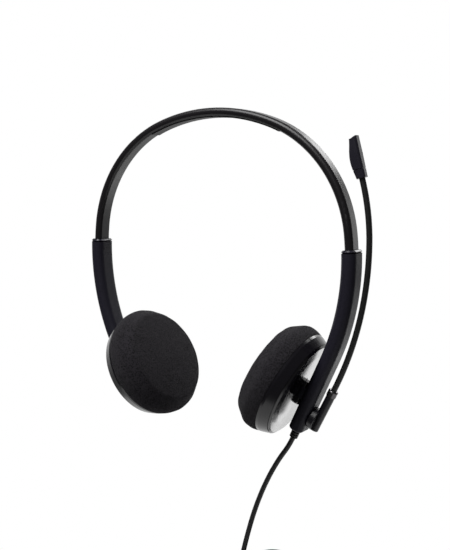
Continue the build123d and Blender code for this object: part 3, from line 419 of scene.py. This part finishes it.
RUBBER = {"grain": 900.0}
METAL = {"grain": 4000.0, "metallic": 1.0}
FINISHES = {
    "band_plastic": ((0.0062, 0.005, 0.0066), (0.009, 0.0074, 0.0094), 0.36, 0.32, {}),
    "arm_plastic": ((0.0105, 0.0095, 0.018), (0.015, 0.0135, 0.024), 0.55, 0.5, {"specular": 0.3}),
    "trim_plastic": ((0.006, 0.0052, 0.0068), (0.0085, 0.0075, 0.0095), 0.45, 0.40, {}),
    "collar_plastic": ((0.011, 0.0095, 0.018), (0.015, 0.0135, 0.024), 0.2, 0.26, {}),
    "cup_plastic": ((0.0034, 0.0027, 0.005), (0.0052, 0.0042, 0.0072), 0.2, 0.26, {}),
    "liner_rubber": ((0.004, 0.004, 0.0045), (0.006, 0.0055, 0.0065), 0.6, 0.55, RUBBER),
    "steel": ((0.50, 0.49, 0.49), (0.60, 0.59, 0.59), 0.25, 0.35, METAL),
    "magnet_iron": ((0.30, 0.30, 0.31), (0.38, 0.38, 0.39), 0.4, 0.5, METAL | {"grain": 3000.0}),
    "film": ((0.60, 0.57, 0.44), (0.68, 0.65, 0.53), 0.25, 0.3, {}),
    "winding": ((0.60, 0.26, 0.12), (0.72, 0.34, 0.17), 0.3, 0.4, METAL | {"grain": 5000.0}),
    "boom_plastic": ((0.0066, 0.0056, 0.010), (0.0098, 0.0084, 0.014), 0.34, 0.30, {}),
    "boom_rubber": ((0.009, 0.009, 0.009), (0.013, 0.013, 0.0125), 0.5, 0.45, RUBBER),
    "ferrule_metal": ((0.10, 0.095, 0.10), (0.14, 0.135, 0.14), 0.28, 0.35, METAL),
    "mic_plastic": ((0.0125, 0.0112, 0.019), (0.0175, 0.0158, 0.0255), 0.34, 0.30, {}),
    "cord_rubber": ((0.009, 0.009, 0.0095), (0.013, 0.013, 0.0135), 0.5, 0.45, RUBBER),
    "plug_plastic": ((0.008, 0.0072, 0.0095), (0.012, 0.011, 0.0135), 0.42, 0.36, {}),
    "contact_metal": ((0.74, 0.50, 0.18), (0.80, 0.56, 0.22), 0.16, 0.24, METAL),
    "band_ring_plastic": ((0.005, 0.005, 0.005), (0.008, 0.008, 0.008), 0.3, 0.25, {}),
}

finishes = {slot: finish(slot, *row, **changes) for slot, (*row, changes) in FINISHES.items()}
# The foam's first colour is painted shade in its pores, the second is its own colour on their rims.
finishes["foam"] = foam_finish(
    "foam",
    (0.0012, 0.0011, 0.0015),
    (0.036, 0.033, 0.039),
    Roughness=0.95,
    Specular_IOR_Level=0.1,
    Sheen_Weight=0.06,
    Sheen_Roughness=0.5,
)


def dress(thing, slot):
    """Gives an object one finish, in place of whatever it came with."""
    thing.data.materials.clear()
    thing.data.materials.append(finishes[slot])


for node, thing in frame["nodes"].items():
    dress(thing, slot_of[node])
dress(cord, "cord_rubber")
print("finishes:", len(finishes))

# %% [markdown]
# ## The foam pads
#
# A foam pad is a cut disc pulled over the rim of the cup: crowned in front, rounded at its edge,
# and drawn in where it tucks behind the ring. It is a surface of revolution about the cup's
# axis, so its points are a grid of angle and profile. Foam isn't quite even, so the surface is
# pushed in and out by a few smooth waves, strongest on the face.

# %% The pads' sizes, and where the cups stand
PAD_RADIUS = 0.030
PAD_CROWN = 0.012
PAD_SEAM_RADIUS = 0.0291
PAD_SEAM_DEPTH = 0.0052
PAD_BULGE = 0.0003
PAD_FACE_STATIONS = (0.0, 23.2, 25.6, 31.2, 34.6)
PAD_FACE_SLOPES = (0.0, 14.0, 56.0, 58.0, 90.0)
PAD_INSIDE_RADIUS = 0.0272
PAD_BACK_DEPTH = 0.0043
PAD_WAVE_FADE = 0.004
PAD_SEEDS = {"left": 7, "right": 8}
WAVE_NUMBERS = (350, 1500)
PIN_DEPTH = 0.0133
REST_TURN = math.radians(3.0)


def cup_frame(side):
    """The cup's centre, and its up, out and forward-back directions, from its swivel joint."""
    joint = joints[f"{side}_cup_swivel"]
    up = Vector(joint["axis"]).normalized()
    if up.z < 0:
        up = -up
    sign = 1 if side == "left" else -1
    square = Vector((up.z * sign, 0, -abs(up.x)))
    out = square * math.cos(REST_TURN) + Vector((0, 1, 0)) * math.sin(REST_TURN)
    return Vector(joint["pos_m"]) - out * PIN_DEPTH, up, out, up.cross(out)


for side in ("left", "right"):
    print(side, "cup centre", [round(v, 5) for v in cup_frame(side)[0]])


# %% Make the foam pads
def pad_profile(count):
    """Radius and depth down the pad, from the middle of its face round to its hidden back.

    The face is integrated from its slope along it: r' = cos(slope), depth' = sin(slope). The slope
    grows a little over the flat middle, quickly at the soft edge round it, hardly at all down the
    cone, and quickly again to upright. The sums are then scaled to the pad's radius and crown.
    The side draws in to the seam, and the back turns in under the ring.
    """
    station = np.linspace(0, PAD_FACE_STATIONS[-1], count)
    slope = np.radians(np.interp(station, PAD_FACE_STATIONS, PAD_FACE_SLOPES))
    face = np.stack([np.cumsum(np.cos(slope)), np.cumsum(np.sin(slope))], 1)
    face -= face[0]
    face *= np.array([PAD_RADIUS, PAD_CROWN]) / face[-1]
    face[:, 1] -= PAD_CROWN
    s = np.linspace(0, 1, count // 3)[1:]
    bulge = PAD_BULGE * np.sin(math.pi * s)
    drawn_in = PAD_RADIUS + (PAD_SEAM_RADIUS - PAD_RADIUS) * s + bulge
    side = np.stack([drawn_in, PAD_SEAM_DEPTH * s], 1)
    back = [
        [PAD_INSIDE_RADIUS, PAD_SEAM_DEPTH],
        [PAD_INSIDE_RADIUS, PAD_BACK_DEPTH],
        [0, PAD_BACK_DEPTH],
    ]
    return np.vstack([face, side, back])


def waves(points, seed, count=9, size=0.00005):
    """A smooth random height at each point: a sum of sine waves of random direction and length.

    A wave's number is 2 pi over its length.
    """
    chance = np.random.default_rng(seed)
    direction = chance.normal(size=(count, 3))
    direction /= np.linalg.norm(direction, axis=1)[:, None]
    number = chance.uniform(*WAVE_NUMBERS, count)
    phase = chance.uniform(0, 2 * math.pi, count)
    return size * np.sin(points @ direction.T * number + phase).sum(1) / math.sqrt(count)


def grid_mesh(name, points, rings, around):
    """A closed mesh from a grid of rings by angles, with one end point beyond each end ring."""
    index = np.arange(rings * around).reshape(rings, around)
    nxt = np.roll(index, -1, axis=1)
    quads = np.stack([index[:-1], nxt[:-1], nxt[1:], index[1:]], -1).reshape(-1, 4)
    first, last = len(points) - 2, len(points) - 1
    start = np.stack([np.full(around, first), nxt[0], index[0]], -1)
    end = np.stack([np.full(around, last), index[-1], nxt[-1]], -1)
    mesh = bpy.data.meshes.new(name)
    mesh.from_pydata(points.tolist(), [], start.tolist() + quads.tolist() + end.tolist())
    mesh.polygons.foreach_set("use_smooth", np.ones(len(mesh.polygons), bool))
    mesh.update()
    return mesh


def make_pad(side, around=192, count=96):
    """One foam pad: its profile turned about the cup's axis, and pushed along its normal."""
    centre, up, out, across = (np.array(v) for v in cup_frame(side))
    profile = pad_profile(count)
    radius, depth = profile[1:-1].T
    angle = np.linspace(0, 2 * math.pi, around, endpoint=False)
    spoke = np.outer(np.cos(angle), up) + np.outer(np.sin(angle), across)
    step_r, step_d = np.gradient(profile, axis=0)[1:-1].T
    size = np.hypot(step_d, step_r)
    normal = (step_d / size)[:, None, None] * spoke + (-step_r / size)[:, None, None] * out
    points = centre + radius[:, None, None] * spoke + depth[:, None, None] * out
    shown = np.clip((PAD_SEAM_DEPTH - depth) / PAD_WAVE_FADE, 0, 1)[:, None, None]
    push = waves(points.reshape(-1, 3), PAD_SEEDS[side]).reshape(points.shape[:2])
    points = points + normal * push[:, :, None] * shown
    ends = np.array([centre + out * profile[0, 1], centre + out * profile[-1, 1]])
    name = f"{side}_foam_pad"
    every_point = np.vstack([points.reshape(-1, 3), ends])
    pad = place(name, grid_mesh(name, every_point, len(radius), around))
    dress(pad, "foam")
    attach(pad, f"{side}_cup")
    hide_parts(f"{side}_ear_pad")
    return pad


pads = [make_pad(side) for side in ("left", "right")]
print("pad faces:", [len(pad.data.polygons) for pad in pads])

# %% [markdown]
# ## Room and light
#
# Black products are lit by what they reflect. Here a white sheet hangs behind the headset, so
# what turns a mirror-like face towards it shines, and the room beyond its edges is dim, so the
# other faces stay black. A lamp high behind draws the bright line along the band, and a large
# soft lamp in front gives the colours their plain level. Camera rays see the white everywhere.
# The floor is white too, but for a share in its middle, which keeps the headset's shadow.

# %% World and floor
SHEET_EDGE = math.cos(math.radians(64))
SHEET_FULL = math.cos(math.radians(30))
FLOOR_HEIGHT = -0.75
FLOOR_FADED = 0.63
FLOOR_COLOUR = (0.85, 0.85, 0.85, 1)
FLOOR_ROUGHNESS = 0.9
WHITE = (1, 1, 1, 1)


def seen_and_mirrored(tree):
    """One for a camera ray, and one for a ray off a glossy or through a clear surface."""
    path = tree.nodes.new("ShaderNodeLightPath")
    glossy, passed = path.outputs["Is Glossy Ray"], path.outputs["Is Transmission Ray"]
    return path.outputs["Is Camera Ray"], math_node(tree, "MAXIMUM", glossy, passed)


def mix_white(tree, lit, share, kind, output):
    """Mixes a lit shader with plain white, by a share, into the output's surface."""
    white = tree.nodes.new(kind)
    white.inputs["Color"].default_value = WHITE
    mix = tree.nodes.new("ShaderNodeMixShader")
    tree.links.new(share, mix.inputs["Fac"])
    tree.links.new(lit, mix.inputs[1])
    tree.links.new(white.outputs[0], mix.inputs[2])
    tree.links.new(mix.outputs[0], output.inputs["Surface"])


def make_world(dim=0.1, bright=0.6):
    """A dim room with a white sheet behind the headset, as the camera sees it.

    The sheet's strength comes from the angle between a ray and the camera's own line of sight. A
    camera ray meets white everywhere, and a mirrored one meets as much of it as the sheet has.
    """
    world = bpy.data.worlds.new("studio")
    world.use_nodes = True
    tree = world.node_tree
    room = tree.nodes["Background"]
    room.inputs["Color"].default_value = WHITE
    facing = vector_node(tree, "DOT_PRODUCT", "Generated", -camera.matrix_world.col[2].xyz)
    sheet = range_node(tree, facing, SHEET_EDGE, SHEET_FULL)
    tree.links.new(range_node(tree, sheet, 0.0, 1.0, dim, bright), room.inputs["Strength"])
    seen, mirrored = seen_and_mirrored(tree)
    share = math_node(tree, "MAXIMUM", seen, math_node(tree, "MULTIPLY", mirrored, sheet))
    mix_white(tree, room.outputs[0], share, "ShaderNodeBackground", tree.nodes["World Output"])
    bpy.context.scene.world = world


def make_floor(half_width=0.7, seen_share=0.93):
    """A pale floor far under the hanging headset.

    In the middle the camera sees a share of plain white and the rest as lit, which keeps the
    shadow. Outwards the share goes up to one, so that the floor has no edge to see.
    """
    corners = np.array([(-1, -1), (1, -1), (1, 1), (-1, 1)]) * half_width
    mesh = bpy.data.meshes.new("floor")
    mesh.from_pydata([(x, y, FLOOR_HEIGHT) for x, y in corners.tolist()], [], [(0, 1, 2, 3)])
    material, shader = new_material("floor", Base_Color=FLOOR_COLOUR, Roughness=FLOOR_ROUGHNESS)
    tree = material.node_tree
    outwards = vector_node(tree, "DISTANCE", "Object", (0, 0, FLOOR_HEIGHT))
    white_share = range_node(tree, outwards, 0.0, FLOOR_FADED, seen_share, 1.0)
    seen, mirrored = seen_and_mirrored(tree)
    share = math_node(tree, "MAXIMUM", math_node(tree, "MULTIPLY", seen, white_share), mirrored)
    mix_white(tree, shader.outputs[0], share, "ShaderNodeEmission", tree.nodes["Material Output"])
    mesh.materials.append(material)
    place("floor", mesh)


make_world()
make_floor()
print("world and floor:", bpy.context.scene.world.name, "and a floor at", FLOOR_HEIGHT, "m")


# %% Lamps
LAMPS = {
    "back_top_lamp": ((0.09, 0.84, 0.51), 0.9, 0.30, 0.24, 1.2),
    "overhead_lamp": ((0.20, 0.52, 0.82), 0.9, 0.24, 0.34, 0.7),
    "back_low_lamp": ((0.20, 0.88, -0.47), 0.8, 0.45, 0.30, 0.8),
    "back_right_lamp": ((0.52, 0.84, 0.12), 0.9, 0.26, 0.50, 0.55),
    "front_lamp": ((-0.15, -0.50, 0.85), 1.1, 0.8, 0.8, 13.0),
}


def make_lamp(name, direction, distance, width, height, power):
    """A soft rectangular lamp in a direction from the headset's middle, turned towards it."""
    lamp = bpy.data.lights.new(name, "AREA")
    lamp.shape = "RECTANGLE"
    lamp.size = width
    lamp.size_y = height
    lamp.energy = power
    thing = place(name, lamp)
    away = Vector(direction).normalized()
    thing.location = VIEW_CENTRE + away * distance
    thing.rotation_euler = away.to_track_quat("Z", "Y").to_euler()
    thing.visible_camera = False


for name, numbers in LAMPS.items():
    make_lamp(name, *numbers)
bpy.context.scene.view_settings.view_transform = "Standard"
print("lamps:", len(LAMPS))
